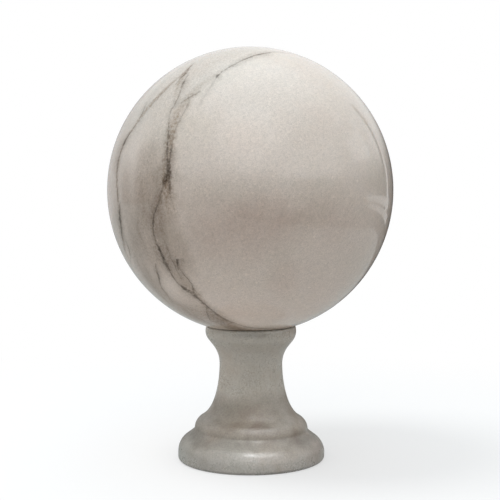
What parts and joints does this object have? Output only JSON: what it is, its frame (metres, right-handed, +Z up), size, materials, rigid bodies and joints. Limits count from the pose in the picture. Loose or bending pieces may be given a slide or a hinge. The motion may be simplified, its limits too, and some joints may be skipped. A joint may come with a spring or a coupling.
{
  "type": "decorative sphere",
  "caption": "Polished veined marble ball resting in the dished top of a small turned stone stand, with a slender flared neck, a bead moulding and a fat rounded foot.",
  "frame": {"origin": "centre of the stand's flat underside, on the surface that it stands on", "axes": "+Z up along the axis of the stand and the ball, +Y away from the viewer of the front, +X to that viewer's right"},
  "size_m": [0.15, 0.15, 0.2175],
  "materials": {
    "ball_marble": "polished cream and grey-beige marble with thin brown and taupe veins",
    "stand_stone": "honed grey-beige stone with soft clouding"
  },
  "bodies": {
    "root": {"ball": "ball_marble", "stand": "stand_stone"}
  },
  "joints": []
}
